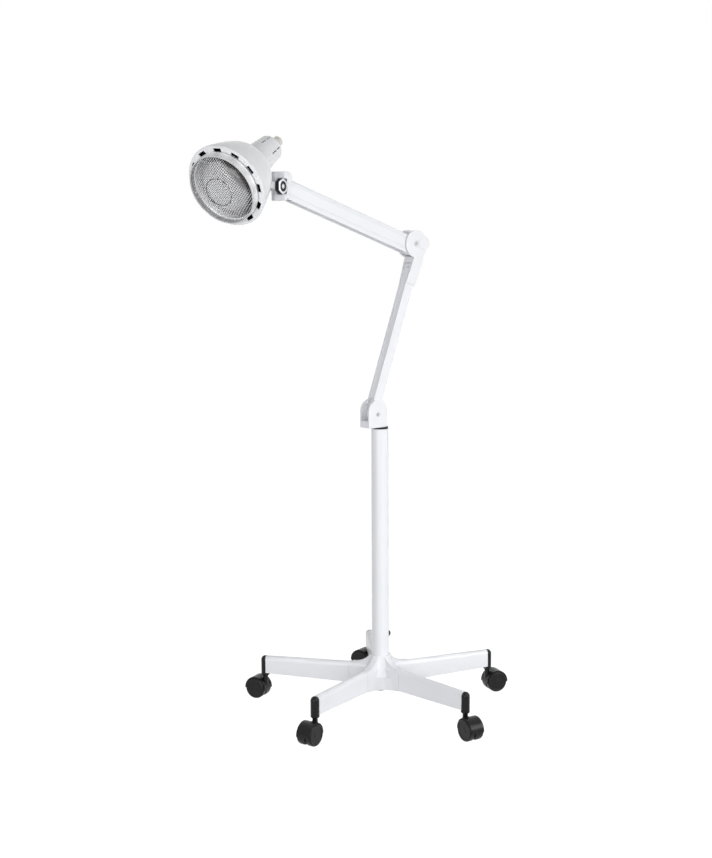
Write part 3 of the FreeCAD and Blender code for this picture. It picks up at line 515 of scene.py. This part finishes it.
# ---------------------------------------------------------------------------
# Bulb.  Reflector heat bulb of blown glass with a frosted face, in a brass
# screw cap and a ceramic holder that stands in the neck.
# ---------------------------------------------------------------------------
def bulb_glass():
    """Glass with a grey frosted face and a glossy side coloured near-black as painted shade."""
    made, shader, at = finish("bulb_glass", {"Coat Weight": 1.0, "Coat Roughness": 0.03, "IOR": 1.52})
    inside = within(at, LAMP)
    across, along, station = [inside.make("ShaderNodeSeparateXYZ", None, {"Vector": inside}, out=k)
                              for k in range(3)]
    # The lean pushes the dark edge further forward on one side of the lamp: painted shade.
    lean = (across * 0.86 + along * 0.5 - 0.050) * 0.156
    face = ((station - 0.0040 - lean) * 700.0).ramp((0.0, 0.0), (1.0, 1.0))
    cloud = at.noise(25.0, 3.0).ramp((0.35, 0.0), (0.65, 1.0))
    feed(shader, {
        "Base Color": face.blend((0.022, 0.016, 0.016, 1),
                                 cloud.blend((0.20, 0.20, 0.21, 1), (0.28, 0.28, 0.29, 1))),
        "Roughness": 0.22 + face * 0.10,
    })
    return made


dress(bulb_glass(), "bulb")
dress(machined("cap_brass", (0.78, 0.74, 0.66, 1), (0.66, 0.60, 0.50, 1), 0.30), "bulb_cap")
dress(moulded("holder_ceramic", (0.72, 0.70, 0.66, 1), (0.50, 0.46, 0.40, 1), 0.40, 0.0004), "lamp_holder")


# ---------------------------------------------------------------------------
# Switch knob.  Cream urea moulding with a flat grip, pushed on the switch
# shaft that comes through the neck's end.
# ---------------------------------------------------------------------------
dress(moulded("knob_cream", (0.760, 0.735, 0.680, 1), (0.70, 0.66, 0.58, 1), 0.30, 0.0008), "switch_knob")


# ---------------------------------------------------------------------------
# Camera.  A long lens a little above the elbow, looking slightly down, on the
# side of the stand that the lamp face turns towards.
# ---------------------------------------------------------------------------
CAMERA_PLACE = Vector((-2.1790, -2.4630, 1.1236))
CAMERA_AIM = Vector((0.6437, 0.7527, -0.1385))
CAMERA_ROLL = math.radians(-0.256)

camera = bpy.data.objects.new("camera", bpy.data.cameras.new("camera"))
bpy.context.scene.collection.objects.link(camera)
camera.data.lens = 60.28
camera.data.sensor_width = 36.0
camera.data.clip_end = 60.0
camera.location = CAMERA_PLACE
aim = CAMERA_AIM.to_track_quat("-Z", "Y").to_matrix() @ Matrix.Rotation(CAMERA_ROLL, 3, "Z")
camera.rotation_euler = aim.to_euler()
bpy.context.scene.camera = camera


# ---------------------------------------------------------------------------
# Room.  A pale floor, a white surround that the camera, gloss and glass see,
# and soft lamps on the camera's side, the larger one to its right.
# ---------------------------------------------------------------------------
bpy.context.scene.view_settings.view_transform = "Standard"


def softbox(name, place, target, size, watts, spread=180.0):
    lamp = bpy.data.lights.new(name, "AREA")
    lamp.energy = watts
    lamp.size = size
    lamp.spread = math.radians(spread)
    stand = bpy.data.objects.new(name, lamp)
    stand.location = place
    stand.rotation_euler = (Vector(target) - Vector(place)).to_track_quat("-Z", "Y").to_euler()
    bpy.context.scene.collection.objects.link(stand)


softbox("key_box", (1.00, -2.80, 1.40), (0.0, 0.0, 0.65), 1.8, 42.0)
softbox("fill_box", (-3.00, -1.50, 0.90), (-0.1, 0.0, 0.65), 1.8, 40.0)
softbox("base_box", (0.30, -1.50, 2.30), (0.0, 0.0, 0.0), 0.9, 0.9, 34.0)


def seen_by_eye(tree):
    """1 for camera, gloss and glass rays, 0 for the light that falls on the object."""
    path = tree.nodes.new("ShaderNodeLightPath")
    seen = Signal(path.outputs["Is Camera Ray"]) + Signal(path.outputs["Is Glossy Ray"])
    seen = seen + Signal(path.outputs["Is Transmission Ray"])
    return seen.make("ShaderNodeClamp", None, {"Value": seen})


def either(tree, share, low, high, kind, socket):
    """Mixes two shaders by share into the tree's output."""
    mix = tree.nodes.new("ShaderNodeMixShader")
    tree.links.new(mix.inputs[0], share.socket)
    tree.links.new(mix.inputs[1], low.outputs[0])
    tree.links.new(mix.inputs[2], high.outputs[0])
    tree.links.new(tree.nodes.new(kind).inputs[socket], mix.outputs[0])


world = bpy.data.worlds.new("surround")
bpy.context.scene.world = world
world.use_nodes = True
tree = world.node_tree
tree.nodes.clear()
level = tree.nodes.new("ShaderNodeBackground")
level.inputs["Color"].default_value = (0.97, 0.98, 1.0, 1.0)
direction = Signal(tree.nodes.new("ShaderNodeTexCoord").outputs["Generated"])
away = direction.make("ShaderNodeVectorMath", {"operation": "DOT_PRODUCT"},
                      {0: direction, 1: (0.28, 0.33, 0.90)}, out=1)
dim = (away * 0.5 + 0.5).ramp((0.36, 0.62), (0.74, 0.25))
tree.links.new(level.inputs["Strength"], dim.socket)
plain = tree.nodes.new("ShaderNodeBackground")
plain.inputs["Color"].default_value = (1.0, 1.0, 1.0, 1.0)
plain.inputs["Strength"].default_value = 1.0
either(tree, seen_by_eye(tree), level, plain, "ShaderNodeOutputWorld", "Surface")

bpy.ops.object.select_all(action="DESELECT")
bpy.ops.mesh.primitive_plane_add(size=30.0, location=(0.0, 0.0, 0.0))
floor = bpy.context.object
floor.name = "floor"
paper = bpy.data.materials.new("floor_paper")
paper.use_nodes = True
tree = paper.node_tree
tree.nodes.clear()
sheet = tree.nodes.new("ShaderNodeBsdfDiffuse")
sheet.inputs["Color"].default_value = (0.88, 0.88, 0.88, 1.0)
glow = tree.nodes.new("ShaderNodeEmission")
glow.inputs["Color"].default_value = (1.0, 1.0, 1.0, 1.0)
glow.inputs["Strength"].default_value = 1.23
either(tree, seen_by_eye(tree) * 0.80, sheet, glow, "ShaderNodeOutputMaterial", "Surface")
floor.data.materials.append(paper)
